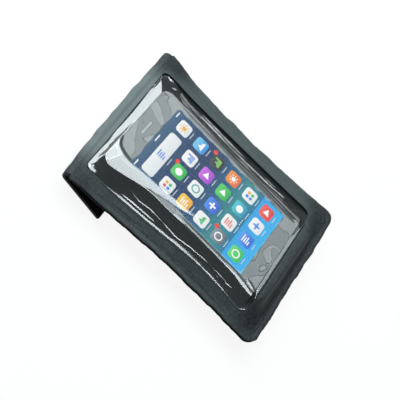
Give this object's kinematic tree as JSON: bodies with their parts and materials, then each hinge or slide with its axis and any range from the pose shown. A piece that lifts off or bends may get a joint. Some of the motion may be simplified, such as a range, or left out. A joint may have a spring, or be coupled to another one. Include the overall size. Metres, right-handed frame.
{
  "type": "bicycle phone case",
  "caption": "Soft pouch with a clear window, folded shut over its back, holding a phone and carried on a quarter-turn adapter.",
  "frame": {"origin": "middle of the bounding box on the surface that the case lies on, which is the face of the adapter's head", "axes": "+Y from the bottom seam to the fold, +Z out of the window"},
  "size_m": [0.1084, 0.1452, 0.0214],
  "materials": {
    "coated_fabric": "matt coated fabric",
    "inner_fabric": "matt coated fabric",
    "clear_film": "glossy clear film",
    "hook_and_loop": "nylon hook and loop",
    "moulded_plastic": "moulded nylon",
    "screw_steel": "zinc plated",
    "phone_metal": "anodised",
    "cover_glass": "polished glass, black behind",
    "display_face": "lit display",
    "button_face": "polished",
    "earpiece_mesh": "fine black mesh"
  },
  "bodies": {
    "case": {"front_panel": "coated_fabric", "back_panel": "inner_fabric", "window_film": "clear_film", "hook_strip": "hook_and_loop", "loop_strip": "hook_and_loop", "backing_plate": "moulded_plastic", "mount_adapter": "moulded_plastic", "adapter_screw_1": "screw_steel", "adapter_screw_2": "screw_steel", "adapter_screw_3": "screw_steel", "adapter_screw_4": "screw_steel", "phone_housing": "phone_metal", "phone_cover_glass": "cover_glass", "phone_display": "display_face", "phone_earpiece": "earpiece_mesh"},
    "home_button": {"phone_home_button": "button_face"}
  },
  "joints": [
    {"name": "home_button_press", "type": "slide", "parent": "case", "child": "home_button", "axis": [0, 0, -1], "range_m": [0, 0.0003], "stiffness_N_per_m": 300}
  ]
}
